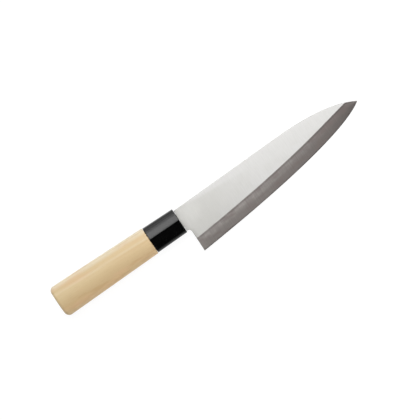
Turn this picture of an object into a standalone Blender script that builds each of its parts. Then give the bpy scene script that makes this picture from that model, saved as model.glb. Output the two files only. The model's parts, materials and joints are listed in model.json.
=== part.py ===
"""A gyuto, the Japanese cook's knife, with a stick tang and a wooden handle for the right hand.

Each piece is modelled in the knife's own axes. X runs along the centre line of the handle, from its butt to the
blade's point. Y runs across the blade, towards its spine. Z comes out of the blade's right side, and Z = 0 is the
blade's middle plane. An empty carries all the pieces and lays the knife on its left side, in the attitude in
which it comes to rest on a table.
"""

import math

import bmesh
import bpy
import numpy as np
from mathutils import Matrix, Vector

# All sizes are in metres.
FIT_GAP = 0.0003  # between two pieces that bear on each other
WELD = 0.00001  # points closer than this are one

# Wooden grip. A height runs from the edge side to the spine side, a thickness from left to right.
GRIP_LENGTH = 0.0937  # the wood that shows, from the butt to the ferrule
BUTT_HEIGHT = 0.0287
BUTT_THICKNESS = 0.0224
GRIP_FRONT_HEIGHT = 0.0253
GRIP_FRONT_THICKNESS = 0.0198
BUTT_ROUNDING_SPINE_SIDE = 0.0042
BUTT_ROUNDING_EDGE_SIDE = 0.0046
BUTT_ROUNDING_FACES = 0.0018  # midway between these two sides
BUTT_ROUNDING_POWER = 3  # a high power keeps the large rounding near the two sides
GRIP_FRONT_CHAMFER = 0.0004
TENON_CHAMFER = 0.0006

# Moulded ferrule
FERRULE_LENGTH = 0.0300
FERRULE_REAR_HEIGHT = 0.0244
FERRULE_REAR_THICKNESS = 0.0189
FERRULE_FRONT_HEIGHT = 0.0234
FERRULE_FRONT_THICKNESS = 0.0181
FERRULE_WALL = 0.0018
FERRULE_FRONT_WALL = 0.0025
FERRULE_ROUNDING = 0.0005

# Cross-section of the grip and the ferrule, which has a ridge along its right side for the curled fingers
RIDGE_ABOVE_CENTRE = 0.0009
RIDGE_STRENGTH = 0.77  # 0 has no ridge, 1 the sharpest
RIGHT_SIDE_FULLNESS = 2.8  # 2 gives an ellipse's shoulders beside the ridge, and more gives fuller ones
RIDGE_SOFTNESS_WOOD = 0.22
RIDGE_SOFTNESS_PLASTIC = 0.02
SECTION_POINTS = 64
ROUNDING_STEPS = 5

# Blade
BLADE_THICKNESS = 0.0020
EDGE_LENGTH = 0.1805  # straight from the heel's corner to the point
EDGE_LAND = 0.0002  # thickness left at the cutting edge
HEEL_SETBACK = 0.0030  # how far the heel's corner lies ahead of the shoulders
HEEL_DROP = 0.0328  # heel's corner below the centre line
HEEL_LEAN = math.radians(1.0)  # the heel's back edge leans forward towards the neck
POINT_DROP = 0.0006  # point below the centre line
NECK_ABOVE = 0.0096  # spine above the centre line at the shoulders
NECK_BELOW = 0.0105
NECK_FILLET = 0.0041
SPINE_ABOVE = 0.01215  # spine above the centre line where it starts to fall
SPINE_FALL_LENGTH = 0.0680  # from there to the point
SPINE_FALL_CURVE = (0.42, 0.24)  # reach of a curve's two handles, as shares of its run along X
SPINE_SLOPE_AT_POINT = -0.60
EDGE_CURVE = (0.60, 0.09)
EDGE_SLOPE_AT_HEEL = 0.083
EDGE_SLOPE_AT_POINT = 0.72
BEVEL_HEIGHT = 0.0124  # ground band above the edge
BEVEL_NARROWING = 0.47  # share that the band would lose at the point
BEVEL_NARROWING_POWER = 13  # a high power keeps the loss near the point
BEVEL_BULGE = 0.0003  # the band's gain two thirds of the way along
BLADE_STATIONS = 56
TIP_STATIONS = 6
FILLET_STEPS = 8
CURVE_SAMPLES = 600

# Hidden tang and the resin round it
TANG_LENGTH = 0.0800
TANG_HEIGHT = 0.0120  # at the shoulders
TANG_END_HEIGHT = 0.0070
RESIN_WALL = 0.0005

# Weights in kilograms per cubic metre, which decide how the knife lies
WEIGHTS = {"blade": 7850, "handle": 600, "ferrule": 1100, "tang_resin": 1100}

# Places along the knife
FERRULE_REAR = GRIP_LENGTH + FIT_GAP
FERRULE_FRONT = FERRULE_REAR + FERRULE_LENGTH
FERRULE_FLOOR = FERRULE_FRONT - FERRULE_FRONT_WALL
SHOULDER = FERRULE_FRONT + FIT_GAP
TANG_END = SHOULDER - TANG_LENGTH
HEEL = Vector((SHOULDER + HEEL_SETBACK, -HEEL_DROP))
POINT = Vector((HEEL.x + math.sqrt(EDGE_LENGTH**2 - (HEEL_DROP - POINT_DROP) ** 2), -POINT_DROP))
SPINE_FALL = Vector((POINT.x - SPINE_FALL_LENGTH, SPINE_ABOVE))


def material(name, colour, roughness, metallic):
    made = bpy.data.materials.new(name)
    made.use_nodes = True
    shader = made.node_tree.nodes["Principled BSDF"]
    shader.inputs["Base Color"].default_value = (*colour, 1.0)
    shader.inputs["Roughness"].default_value = roughness
    shader.inputs["Metallic"].default_value = metallic
    made.diffuse_color = (*colour, 1.0)
    return made


def object_from(bm, name, finish=None):
    """Closes a bmesh into a named object with outward faces, smooth except across real edges."""
    bmesh.ops.recalc_face_normals(bm, faces=bm.faces)
    mesh = bpy.data.meshes.new(name)
    bm.to_mesh(mesh)
    bm.free()
    mesh.shade_smooth()
    mesh.set_sharp_from_angle(angle=math.radians(30))
    piece = bpy.data.objects.new(name, mesh)
    bpy.context.scene.collection.objects.link(piece)
    if finish:
        mesh.materials.append(finish)
    return piece


def loft(name, rings, finish=None):
    """Joins rings of equally many points with quads, in order, and caps the first and the last."""
    bm = bmesh.new()
    loops = [[bm.verts.new(point) for point in ring] for ring in rings]
    for near, far in zip(loops, loops[1:]):
        for i in range(len(near)):
            bm.faces.new((near[i - 1], near[i], far[i], far[i - 1]))
    bm.faces.new(loops[0])
    bm.faces.new(loops[-1])
    return object_from(bm, name, finish)


def cut(piece, cutter):
    """Cuts one piece with a hidden wire shape."""
    boolean = piece.modifiers.new("cut " + cutter.name, "BOOLEAN")
    boolean.operation = "DIFFERENCE"
    boolean.solver = "EXACT"
    boolean.object = cutter
    cutter.hide_render = True
    cutter.display_type = "WIRE"


def section(height, thickness, softness):
    """One turn round the handle, as an array of y and z.

    The left side is half an ellipse. On the right side z = (1 - r*s - (1 - r)*s*s) ** (1/f) of the half thickness,
    where r is the ridge's strength, f is the fullness, and s runs from 0 at the ridge to 1 at the spine side or
    the edge side.
    Softness rounds s off near 0, and with it the ridge.
    """
    turn = np.arange(SECTION_POINTS) * (2 * math.pi / SECTION_POINTS)
    rise = np.sin(turn)
    side = np.cos(turn)
    s = (np.hypot(rise, softness) - softness) / (math.hypot(1, softness) - softness)
    ridged = np.clip(1 - RIDGE_STRENGTH * s - (1 - RIDGE_STRENGTH) * s * s, 0, None) ** (1 / RIGHT_SIDE_FULLNESS)
    y = rise * height / 2 + RIDGE_ABOVE_CENTRE * np.clip(side, 0, None) ** 2
    z = np.where(side > 0, ridged, side) * thickness / 2
    return np.column_stack((y, z))


def inset(outline, depth):
    """Moves each point of a section towards the centre line."""
    return outline * (1 - depth / np.linalg.norm(outline, axis=1))[:, None]


def ring(x, outline):
    return np.column_stack((np.broadcast_to(x, len(outline)), outline))


def grip_section(x):
    share = np.clip(x / GRIP_LENGTH, 0, 1)
    height = BUTT_HEIGHT + (GRIP_FRONT_HEIGHT - BUTT_HEIGHT) * share
    thickness = BUTT_THICKNESS + (GRIP_FRONT_THICKNESS - BUTT_THICKNESS) * share
    return section(height, thickness, RIDGE_SOFTNESS_WOOD)


def ferrule_section(x, wall=0.0):
    """The ferrule's outline at x, or the outline that lies a wall inside it."""
    share = (x - FERRULE_REAR) / FERRULE_LENGTH
    height = FERRULE_REAR_HEIGHT + (FERRULE_FRONT_HEIGHT - FERRULE_REAR_HEIGHT) * share
    thickness = FERRULE_REAR_THICKNESS + (FERRULE_FRONT_THICKNESS - FERRULE_REAR_THICKNESS) * share
    return section(height - 2 * wall, thickness - 2 * wall, RIDGE_SOFTNESS_PLASTIC)


def quarter_round(radius, steps):
    """Pairs of how far along and how far in, from the end face round to the side."""
    angles = [math.pi / 2 * i / steps for i in range(steps + 1)]
    return [(radius * (1 - math.cos(angle)), radius * (1 - math.sin(angle))) for angle in angles]


def make_handle(finish, tang_bore):
    """The wooden grip with its tenon, which fills the ferrule, and the bore for the tang."""
    butt = grip_section(0)
    rise = 2 * butt[:, 0] / BUTT_HEIGHT  # 1 on the spine side and -1 on the edge side
    at_side = np.where(rise > 0, BUTT_ROUNDING_SPINE_SIDE, BUTT_ROUNDING_EDGE_SIDE)
    rounding = BUTT_ROUNDING_FACES + (at_side - BUTT_ROUNDING_FACES) * np.abs(rise) ** BUTT_ROUNDING_POWER
    rings = [ring(along, inset(butt, depth)) for along, depth in quarter_round(rounding, ROUNDING_STEPS)]
    chamfer = GRIP_LENGTH - GRIP_FRONT_CHAMFER
    rings.append(ring(chamfer, grip_section(chamfer)))
    rings.append(ring(GRIP_LENGTH, inset(grip_section(GRIP_LENGTH), GRIP_FRONT_CHAMFER)))
    into_ferrule = FERRULE_WALL + FIT_GAP
    tenon_front = FERRULE_FLOOR - FIT_GAP
    for x in (GRIP_LENGTH, tenon_front - TENON_CHAMFER):
        rings.append(ring(x, ferrule_section(x, into_ferrule)))
    rings.append(ring(tenon_front, inset(ferrule_section(tenon_front, into_ferrule), TENON_CHAMFER)))
    handle = loft("handle", rings, finish)
    cut(handle, tang_bore)
    return handle


def make_ferrule(finish, tang_bore):
    """The plastic cap over the tenon: open at the rear, with a slot for the tang through its front wall."""
    rings = [ring(x, ferrule_section(x, FERRULE_WALL)) for x in (FERRULE_FLOOR, FERRULE_REAR)]
    for along, depth in quarter_round(FERRULE_ROUNDING, ROUNDING_STEPS):
        x = FERRULE_REAR + along
        rings.append(ring(x, inset(ferrule_section(x), depth)))
    for along, depth in reversed(quarter_round(FERRULE_ROUNDING, ROUNDING_STEPS)):
        x = FERRULE_FRONT - along
        rings.append(ring(x, inset(ferrule_section(x), depth)))
    ferrule = loft("ferrule", rings, finish)
    cut(ferrule, tang_bore)
    return ferrule


def tang_block(name, grown, front, finish=None):
    """The tang's tapered shape, thicker by the same amount on every side, from its end up to a plane."""
    taper = (TANG_HEIGHT - TANG_END_HEIGHT) / TANG_LENGTH / 2
    half_thickness = BLADE_THICKNESS / 2 + grown
    rings = []
    for x in (TANG_END - grown, front):
        half_height = TANG_END_HEIGHT / 2 + taper * (x - TANG_END) + grown
        rings.append([(x, y * half_height, z * half_thickness) for y, z in ((-1, -1), (1, -1), (1, 1), (-1, 1))])
    return loft(name, rings, finish)


def bezier(start, start_slope, end, end_slope, shares):
    """Samples of a cubic curve whose two handles have the given slopes and shares of the run."""
    run = end.x - start.x
    first = start + Vector((1, start_slope)) * run * shares[0]
    second = end - Vector((1, end_slope)) * run * shares[1]
    t = np.linspace(0, 1, CURVE_SAMPLES)[:, None]
    points = [np.array(point) for point in (start, first, second, end)]
    weights = ((1 - t) ** 3, 3 * t * (1 - t) ** 2, 3 * t * t * (1 - t), t**3)
    return sum(weight * point for weight, point in zip(weights, points))


def blade_outline(x):
    """Height of the edge, of the bevel's upper line and of the spine at each x, in that order."""
    fall = bezier(SPINE_FALL, 0, POINT, SPINE_SLOPE_AT_POINT, SPINE_FALL_CURVE)
    rising = NECK_ABOVE + (SPINE_ABOVE - NECK_ABOVE) * (x - SHOULDER) / (SPINE_FALL.x - SHOULDER)
    spine = np.where(x < SPINE_FALL.x, rising, np.interp(x, fall[:, 0], fall[:, 1]))
    cutting = bezier(HEEL, EDGE_SLOPE_AT_HEEL, POINT, EDGE_SLOPE_AT_POINT, EDGE_CURVE)
    edge = np.interp(x, cutting[:, 0], cutting[:, 1])
    share = np.clip((x - HEEL.x) / (POINT.x - HEEL.x), 0, 1)
    bulge = BEVEL_BULGE * 27 / 4 * share**2 * (1 - share)  # 27/4 makes the highest value 1
    band = BEVEL_HEIGHT * (1 - BEVEL_NARROWING * share**BEVEL_NARROWING_POWER) + bulge
    return edge, edge + band, spine


def neck_fillet():
    """The rounded inner corner between the neck and the heel's back edge, from the heel to the neck."""
    back = Vector((math.sin(HEEL_LEAN), math.cos(HEEL_LEAN)))
    corner = HEEL + back * (HEEL_DROP - NECK_BELOW) / back.y
    turn = math.pi / 2 + HEEL_LEAN  # from the heel's line to the neck's
    reach = math.tan(turn / 2)  # from the corner to where the arc starts, as a share of its radius
    radius = min(NECK_FILLET, (corner.x - SHOULDER) / reach)
    centre = Vector((corner.x - radius * reach, -NECK_BELOW - radius))
    angles = [turn * i / FILLET_STEPS - HEEL_LEAN for i in range(FILLET_STEPS + 1)]
    return [centre + radius * Vector((math.cos(angle), math.sin(angle))) for angle in angles]


def make_blade(finish):
    """One steel plate with its tang. The right half is drawn and mirrored across the middle plane.

    The flat is one plane, from the neck to the line where the bevel starts. The bevel runs from that line down
    to the edge. Near the point the bevel has climbed to the spine, and the plate thins along with it.
    """
    flat = BLADE_THICKNESS / 2
    land = EDGE_LAND / 2
    everywhere = np.linspace(HEEL.x, POINT.x, CURVE_SAMPLES)
    edge, line, spine = blade_outline(everywhere)
    meeting = everywhere[np.argmax(line >= spine)]  # where the bevel's line reaches the spine
    along = np.linspace(HEEL.x, meeting, BLADE_STATIONS)
    edge, line, spine = blade_outline(along)
    band_at_meeting = spine[-1] - edge[-1]
    tip = np.linspace(meeting, POINT.x, TIP_STATIONS + 1)[1:-1]
    tip_edge, _, tip_spine = blade_outline(tip)
    tip_half = land + (flat - land) * (tip_spine - tip_edge) / band_at_meeting

    bm = bmesh.new()

    def vert(x, y, z):
        return bm.verts.new((x, y, z))

    # The bevel's line starts on the leaning back edge of the heel.
    heel_line = HEEL.x + math.tan(HEEL_LEAN) * (line[0] - edge[0])
    line_along = along + (heel_line - HEEL.x) * (meeting - along) / (meeting - HEEL.x)
    line_height = np.minimum(blade_outline(line_along)[1], blade_outline(line_along)[2])
    edge_verts = [vert(x, y, land) for x, y in zip(along, edge)]
    line_verts = [vert(x, y, flat) for x, y in zip(line_along, line_height)]
    past_fall = along[(along > SPINE_FALL.x) & (along < meeting)]
    spine_x = np.concatenate(([SHOULDER, SPINE_FALL.x], past_fall))
    spine_verts = [vert(x, y, flat) for x, y in zip(spine_x, blade_outline(spine_x)[2])]
    fillet_verts = [vert(x, y, flat) for x, y in neck_fillet()]
    neck = vert(SHOULDER, -NECK_BELOW, flat)
    tang = [vert(SHOULDER, side * TANG_HEIGHT / 2, flat) for side in (-1, 1)]
    tang_end = [vert(TANG_END, side * TANG_END_HEIGHT / 2, flat) for side in (1, -1)]
    tip_edge_verts = [vert(x, y, land) for x, y in zip(tip, tip_edge)]
    tip_spine_verts = [vert(x, y, z) for x, y, z in zip(tip, tip_spine, tip_half)]
    point = vert(POINT.x, POINT.y, land)

    bm.faces.new(line_verts + spine_verts[::-1] + tang[::-1] + [neck] + fillet_verts[::-1])
    bm.faces.new(tang + tang_end)
    edge_verts += tip_edge_verts + [point]
    upper_verts = line_verts + tip_spine_verts + [point]
    for i in range(len(edge_verts) - 1):
        corners = [edge_verts[i], edge_verts[i + 1], upper_verts[i + 1], upper_verts[i]]
        bm.faces.new(dict.fromkeys(corners))

    # The rim is drawn down to the middle plane, where the mirror closes it.
    bmesh.ops.remove_doubles(bm, verts=bm.verts, dist=WELD)
    rim = [side for side in bm.edges if side.is_boundary]
    walls = bmesh.ops.extrude_edge_only(bm, edges=rim)["geom"]
    for corner in walls:
        if isinstance(corner, bmesh.types.BMVert):
            corner.co.z = 0
    blade = object_from(bm, "blade", finish)
    mirror = blade.modifiers.new("left half", "MIRROR")
    mirror.use_axis = (False, False, True)
    mirror.merge_threshold = WELD
    return blade


def make_tang_resin(finish):
    """The resin sleeve that fills the bore and the slot round the tang, flush with the ferrule's front."""
    sleeve = tang_block("tang_resin", FIT_GAP + RESIN_WALL, FERRULE_FRONT, finish)
    cut(sleeve, tang_block("tang_room", FIT_GAP, SHOULDER))
    return sleeve


def lay_down(pieces):
    """Lays the knife on its left side, as it rests on a table, centred over the origin.

    The table touches one face of the hull round all the pieces. On the left side, it is the face that lies
    nearest to the centre of mass, so that no tipping can bring that centre lower.
    """
    bpy.context.view_layer.update()
    depsgraph = bpy.context.evaluated_depsgraph_get()
    hull = bmesh.new()
    mass = 0
    moment = Vector()
    for piece in pieces:
        mesh = piece.evaluated_get(depsgraph).to_mesh()
        mesh.calc_loop_triangles()
        for triangle in mesh.loop_triangles:
            a, b, c = (mesh.vertices[i].co for i in triangle.vertices)
            share = a.dot(b.cross(c)) / 6 * WEIGHTS[piece.name]
            mass += share
            moment += (a + b + c) / 4 * share
        for vertex in mesh.vertices:
            hull.verts.new(vertex.co)
    centre = moment / mass
    bmesh.ops.convex_hull(hull, input=hull.verts)
    corners = [vertex.co.copy() for vertex in hull.verts]
    left = [face for face in hull.faces if face.normal.z < 0]
    support = min(left, key=lambda face: face.normal.dot(face.verts[0].co - centre))
    turn = support.normal.rotation_difference(Vector((0, 0, -1))).to_matrix()
    hull.free()
    turned = np.array([turn @ corner for corner in corners])
    low, high = turned.min(axis=0), turned.max(axis=0)
    place = -Vector(((low[0] + high[0]) / 2, (low[1] + high[1]) / 2, low[2]))
    rest = bpy.data.objects.new("rest", None)
    bpy.context.scene.collection.objects.link(rest)
    rest.matrix_world = Matrix.Translation(place) @ turn.to_4x4()
    for piece in bpy.context.scene.objects:
        if piece != rest:
            piece.parent = rest
    print("mass", round(mass, 4), "kg, centre of mass", tuple(round(value, 4) for value in centre))
    print("turned by", tuple(round(math.degrees(value), 3) for value in turn.to_euler()), "degrees")
    print("moved by", tuple(round(value, 6) for value in place))


def main():
    for thing in list(bpy.data.objects):
        bpy.data.objects.remove(thing, do_unlink=True)
    steel = material("stainless steel", (0.62, 0.62, 0.60), 0.38, 1.0)
    plastic = material("black plastic", (0.006, 0.006, 0.006), 0.16, 0.0)
    wood = material("magnolia", (0.70, 0.53, 0.32), 0.55, 0.0)
    resin = material("cured resin", (0.20, 0.17, 0.12), 0.45, 0.0)
    tang_bore = tang_block("tang_bore", 2 * FIT_GAP + RESIN_WALL, SHOULDER)
    lay_down([
        make_blade(steel),
        make_ferrule(plastic, tang_bore),
        make_handle(wood, tang_bore),
        make_tang_resin(resin),
    ])


main()
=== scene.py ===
# %% [markdown]
# # A Japanese cook's knife
# A gyuto is an all-round kitchen knife. This one has a steel blade with a hidden tang, a black plastic ferrule
# and a pale wooden handle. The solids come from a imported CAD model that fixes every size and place. This
# notebook gives each of them a finer surface and the finish of the real material, then sets up the floor, the
# lamps and the camera. All new shapes are grids of points worked out with numpy.

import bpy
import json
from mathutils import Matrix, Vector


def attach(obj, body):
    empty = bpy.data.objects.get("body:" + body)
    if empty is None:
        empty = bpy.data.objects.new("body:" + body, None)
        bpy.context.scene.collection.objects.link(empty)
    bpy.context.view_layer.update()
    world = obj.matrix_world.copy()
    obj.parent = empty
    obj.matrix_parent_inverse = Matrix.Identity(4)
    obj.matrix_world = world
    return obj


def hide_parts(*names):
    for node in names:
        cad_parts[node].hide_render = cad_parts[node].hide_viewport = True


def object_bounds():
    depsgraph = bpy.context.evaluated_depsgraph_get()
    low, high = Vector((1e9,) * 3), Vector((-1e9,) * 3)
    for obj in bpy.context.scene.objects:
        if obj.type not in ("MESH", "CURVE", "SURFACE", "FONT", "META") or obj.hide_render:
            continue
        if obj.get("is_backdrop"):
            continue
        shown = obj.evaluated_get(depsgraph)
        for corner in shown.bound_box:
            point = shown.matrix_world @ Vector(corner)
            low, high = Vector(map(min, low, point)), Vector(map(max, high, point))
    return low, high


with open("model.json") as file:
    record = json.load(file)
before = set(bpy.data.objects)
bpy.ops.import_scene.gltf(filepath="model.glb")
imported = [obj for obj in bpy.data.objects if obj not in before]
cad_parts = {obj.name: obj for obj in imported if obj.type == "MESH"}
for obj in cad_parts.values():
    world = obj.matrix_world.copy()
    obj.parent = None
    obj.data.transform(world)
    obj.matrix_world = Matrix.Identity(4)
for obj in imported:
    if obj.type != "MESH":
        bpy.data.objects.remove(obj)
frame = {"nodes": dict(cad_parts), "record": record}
cad_low, cad_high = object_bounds()
print("CAD nodes", sorted(frame["nodes"]))
print("CAD box in mm", [round(1000 * (b - a), 2) for a, b in zip(cad_low, cad_high)])

# %% Modules
import json
import math

import bmesh
import bpy
import numpy as np
from mathutils import Matrix, Vector

# %% [markdown]
# ## The knife's own axes
# A knife put down on a table doesn't lie level: this one rests on the ferrule's rim and on the edge near the
# point, and leans over by 10 degrees. Nobody would draw it in that attitude, so each shape below is drawn in
# millimetres in the knife's own axes. X runs from the middle of the handle's butt towards the point, Y towards
# the spine and Z out of the blade's right side. The record states where the butt and the blade's flat are and
# which way they face, and that fixes the three axes. Angles typed in by hand would do too, but they would go
# wrong with the next change to the CAD model.

# %% Axes from the record's mounts
MM = 0.001  # the frame is in metres
mounts = {mount["name"]: mount for mount in frame["record"]["mounts"]}
butt_centre = np.array(mounts["butt_end"]["pos_m"])
ahead = -np.array(mounts["butt_end"]["axis"])
ahead /= np.linalg.norm(ahead)
outward = np.array(mounts["right_flat"]["axis"])
outward -= ahead * (outward @ ahead)
outward /= np.linalg.norm(outward)
KNIFE_AXES = np.array((ahead, np.cross(outward, ahead), outward))


def in_frame(points):
    """Knife millimetres to frame metres: the butt's centre plus x, y and z times the three axes."""
    return butt_centre + MM * np.asarray(points, float) @ KNIFE_AXES


print("lean in degrees", round(math.degrees(math.acos(outward[2])), 2))

# %% [markdown]
# ## From grids to a closed mesh
# Every piece is made of sheets. A sheet is a grid of points, with quads between neighbours, or one ring of
# points round a flat face. Where two sheets meet they have the same border points, so welding them gives one
# closed skin with no gap. Each sheet also says which finish it has, and carries a UV chart in millimetres for
# patterns that follow the surface. Solids cut out of each other would give the same outer shape, but with long
# thin triangles that shade badly, and a grid keeps its quads small where the surface bends.

# %% Sheets
CHART_SPAN = 400.0  # millimetres that one unit of the UV map stands for


def quads(rows, columns, around):
    """Indices of a grid's quads: each point, its neighbour in the row, and the two points of the next row."""
    here = np.arange(rows * columns).reshape(rows, columns)
    after = np.roll(here, -1, axis=1) if around else here[:, 1:]
    here = here if around else here[:, :-1]
    return np.stack((here[:-1], after[:-1], after[1:], here[1:]), axis=-1).reshape(-1, 4)


def sheet(points, slot=0, around=False, chart=None):
    """One grid of points (rows, columns, 3), or the ring (points, 3) of a flat face. Without a chart of its
    own, a sheet is charted by its x and y."""
    points = np.asarray(points, float)
    chart = points[..., :2] if chart is None else np.asarray(chart, float)
    flat = points.ndim == 2
    faces = [list(range(len(points)))] if flat else quads(*points.shape[:2], around).tolist()
    return {"points": points.reshape(-1, 3), "chart": chart.reshape(-1, 2), "faces": faces, "slot": slot,
            "flat": flat}


# %% Shells
WELD = 0.006 * MM
SLIVER = WELD / 10
SHARP = math.radians(35)  # edges that turn further than this stay crisp


def shell(name, sheets, finishes):
    """Welds sheets into one closed object at the origin, with its place in its mesh."""
    starts = np.cumsum([0] + [len(part["points"]) for part in sheets])
    faces = [[corner + start for corner in face]
             for part, start in zip(sheets, starts) for face in part["faces"]]
    mesh = bpy.data.meshes.new(name)
    mesh.from_pydata(in_frame(np.concatenate([part["points"] for part in sheets])), [], faces)
    counts = [len(part["faces"]) for part in sheets]
    mesh.polygons.foreach_set("material_index", np.repeat([part["slot"] for part in sheets], counts))
    mesh.polygons.foreach_set("use_smooth", np.repeat([not part["flat"] for part in sheets], counts))
    corners = np.empty(len(mesh.loops), np.int32)
    mesh.loops.foreach_get("vertex_index", corners)
    charts = np.concatenate([part["chart"] for part in sheets]) / CHART_SPAN
    mesh.uv_layers.new(name="chart").data.foreach_set("uv", charts[corners].ravel())

    bm = bmesh.new()
    bm.from_mesh(mesh)
    bmesh.ops.remove_doubles(bm, verts=bm.verts, dist=WELD)
    bmesh.ops.dissolve_degenerate(bm, edges=bm.edges, dist=SLIVER)
    bmesh.ops.recalc_face_normals(bm, faces=bm.faces)
    loose = sum(edge.is_boundary or not edge.is_manifold for edge in bm.edges)
    volume = bm.calc_volume() * 1e6  # cubic metres to cubic centimetres
    bm.to_mesh(mesh)
    bm.free()
    smooth = np.empty(len(mesh.polygons), bool)
    mesh.polygons.foreach_get("use_smooth", smooth)
    mesh.set_sharp_from_angle(angle=SHARP)
    mesh.polygons.foreach_set("use_smooth", smooth)  # the line above makes every face smooth
    for finish in finishes:
        mesh.materials.append(finish)
    piece = bpy.data.objects.new(name, mesh)
    bpy.context.scene.collection.objects.link(piece)
    print(f"{name}: {len(mesh.polygons)} faces, {loose} open edges, {volume:.2f} cm3")
    return piece


# %% [markdown]
# ## The outline of the blade
# From the side a gyuto is bounded by two long curves. The spine runs almost straight and then falls to the
# point. The edge is nearly straight at the heel and sweeps up to the point. Both are cubic curves with a handle
# at each end, as in a drawing program: a few numbers fix such a line, and it has no bumps, as a row of measured
# points would. A third line follows the edge and is where the ground bevel starts.

# %% Sizes of the outline
SHOULDER = 124.3  # where the blade meets the ferrule
HEEL = np.array((127.3, -32.8))
EDGE_LENGTH, POINT_DROP = 180.5, 0.6  # straight from the heel to the point, and the point below the X axis
POINT = np.array((HEEL[0] + math.sqrt(EDGE_LENGTH**2 - (HEEL[1] + POINT_DROP) ** 2), -POINT_DROP))
EDGE_SLOPE_AT_HEEL, EDGE_SLOPE_AT_POINT, EDGE_REACHES = 0.083, 0.72, (0.60, 0.09)
NECK_ABOVE, SPINE_ABOVE, SPINE_FALL_LENGTH = 9.6, 12.15, 68.0
SPINE_FALL = np.array((POINT[0] - SPINE_FALL_LENGTH, SPINE_ABOVE))
SPINE_SLOPE_AT_POINT, SPINE_REACHES = -0.60, (0.42, 0.24)
BEVEL_HEIGHT, BEVEL_BULGE = 12.4, 0.3
BEVEL_NARROWING, BEVEL_NARROWING_POWER = 0.47, 13  # share lost at the point; a high power loses it late
print("point at", POINT.round(2).tolist())

# %% Lines of the outline
CURVE_POINTS = 2000


def curve(start, start_slope, end, end_slope, reaches):
    """Points of a cubic curve. Its two handles leave the ends at the given slopes, and reach that share of the
    run along X. The start, the handles and the end weigh (1 - t)^3, 3 t (1 - t)^2, 3 t^2 (1 - t) and t^3."""
    run = end[0] - start[0]
    first = start + np.array((1, start_slope)) * run * reaches[0]
    second = end - np.array((1, end_slope)) * run * reaches[1]
    t = np.linspace(0, 1, CURVE_POINTS)[:, None]
    return (1 - t) ** 3 * start + 3 * t * (1 - t) ** 2 * first + 3 * t * t * (1 - t) * second + t**3 * end


FALL = curve(SPINE_FALL, 0, POINT, SPINE_SLOPE_AT_POINT, SPINE_REACHES)
CUT = curve(HEEL, EDGE_SLOPE_AT_HEEL, POINT, EDGE_SLOPE_AT_POINT, EDGE_REACHES)


def spine_at(x):
    """Height of the spine: a straight rise to where it starts to fall, then the curve."""
    rise = NECK_ABOVE + (SPINE_FALL[1] - NECK_ABOVE) * (x - SHOULDER) / (SPINE_FALL[0] - SHOULDER)
    return np.where(x < SPINE_FALL[0], rise, np.interp(x, *FALL.T))


def edge_at(x):
    """Height of the cutting edge."""
    return np.interp(x, *CUT.T)


def bevel_at(x):
    """Height of the line where the bevel starts: the edge, plus a band that narrows near the point, plus a
    slight bulge 27 / 4 s s (1 - s), which is highest two thirds of the way along."""
    share = np.clip((x - HEEL[0]) / (POINT[0] - HEEL[0]), 0, 1)
    band = BEVEL_HEIGHT * (1 - BEVEL_NARROWING * share**BEVEL_NARROWING_POWER)
    return edge_at(x) + band + BEVEL_BULGE * 27 / 4 * share**2 * (1 - share)


print("blade height at the heel", round(float(spine_at(HEEL[0]) - HEEL[1]), 2), "mm")

# %% [markdown]
# ## Across the bevel
# A bevel looks flat, but a hand-held knife on a round stone gets a slightly swollen one: it leaves the flat
# gently and steepens towards the edge. The last half millimetre is honed steeper still, and that is the part
# that cuts. One flat face would be simpler, but it would mirror the room in a single tone. The function below
# gives the half thickness for each share of the way up from the edge, and the rows of the grid lie closest
# where it bends most.

# %% Profile of the bevel
BLADE_HALF = 1.0  # half the thickness of the blade at its flats
HONED_SHARE = 0.045  # of the bevel's height
HONED_HALF = 0.15  # share of the half thickness where the honed strip ends
SWELL = 0.035  # share of it by which the ground part bulges in the middle
HONED_SHARES = np.array((0, 0.02, 0.041, HONED_SHARE))
GROUND_SHARES = np.array((HONED_SHARE, 0.049, 0.08, 0.16, 0.26, 0.38, 0.5, 0.62, 0.74, 0.85, 0.93, 0.97,
                          0.995, 1))
BEVEL_SHARES = np.concatenate((HONED_SHARES, GROUND_SHARES[1:]))


def bevel_half(share):
    """Half thickness, as a share of the flat's: a straight honed strip, then a line with a parabola added."""
    up = np.clip((share - HONED_SHARE) / (1 - HONED_SHARE), 0, 1)
    ground = HONED_HALF + (1 - HONED_HALF) * up + SWELL * 4 * up * (1 - up)
    return np.where(share < HONED_SHARE, HONED_HALF * share / HONED_SHARE, ground)


print("half thickness up the bevel", (BLADE_HALF * bevel_half(np.linspace(0, 1, 6))).round(2).tolist(), "mm")

# %% [markdown]
# ## Round the rim
# Seen from the side, the rim of the blade is one long path: up the back of the heel, round the fillet, along the
# neck, round the hidden tang, along the spine and down to the point. Carrying a small profile along that path
# gives the whole rim at once. The profile is a quarter round, a straight wall and another quarter round. A Bevel
# modifier could round the rim too, but with one radius, and here the profile has to shrink near the point and
# down the heel, where the blade gets thinner.

# %% Back of the heel and fillet under the neck
HEEL_LEAN = math.radians(1.0)
NECK_BELOW, NECK_FILLET, FILLET_POINTS = 10.5, 3.2, 28
up_the_back = np.array((math.sin(HEEL_LEAN), math.cos(HEEL_LEAN)))
band_top = (bevel_at(HEEL[0] + BEVEL_HEIGHT * math.tan(HEEL_LEAN)) - HEEL[1]) / up_the_back[1]
bevel_back = HEEL + up_the_back * band_top * BEVEL_SHARES[:, None]
back_corner = HEEL + up_the_back * (-NECK_BELOW - HEEL[1]) / up_the_back[1]
fillet_run = NECK_FILLET * math.tan((math.pi / 2 + HEEL_LEAN) / 2)
fillet_centre = np.array((back_corner[0] - fillet_run, -NECK_BELOW - NECK_FILLET))
angles = np.linspace(-HEEL_LEAN, math.pi / 2, FILLET_POINTS)
fillet = fillet_centre + NECK_FILLET * np.column_stack((np.cos(angles), np.sin(angles)))
print("straight neck left under the fillet", round(float(fillet_centre[0] - SHOULDER), 2), "mm")

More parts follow.
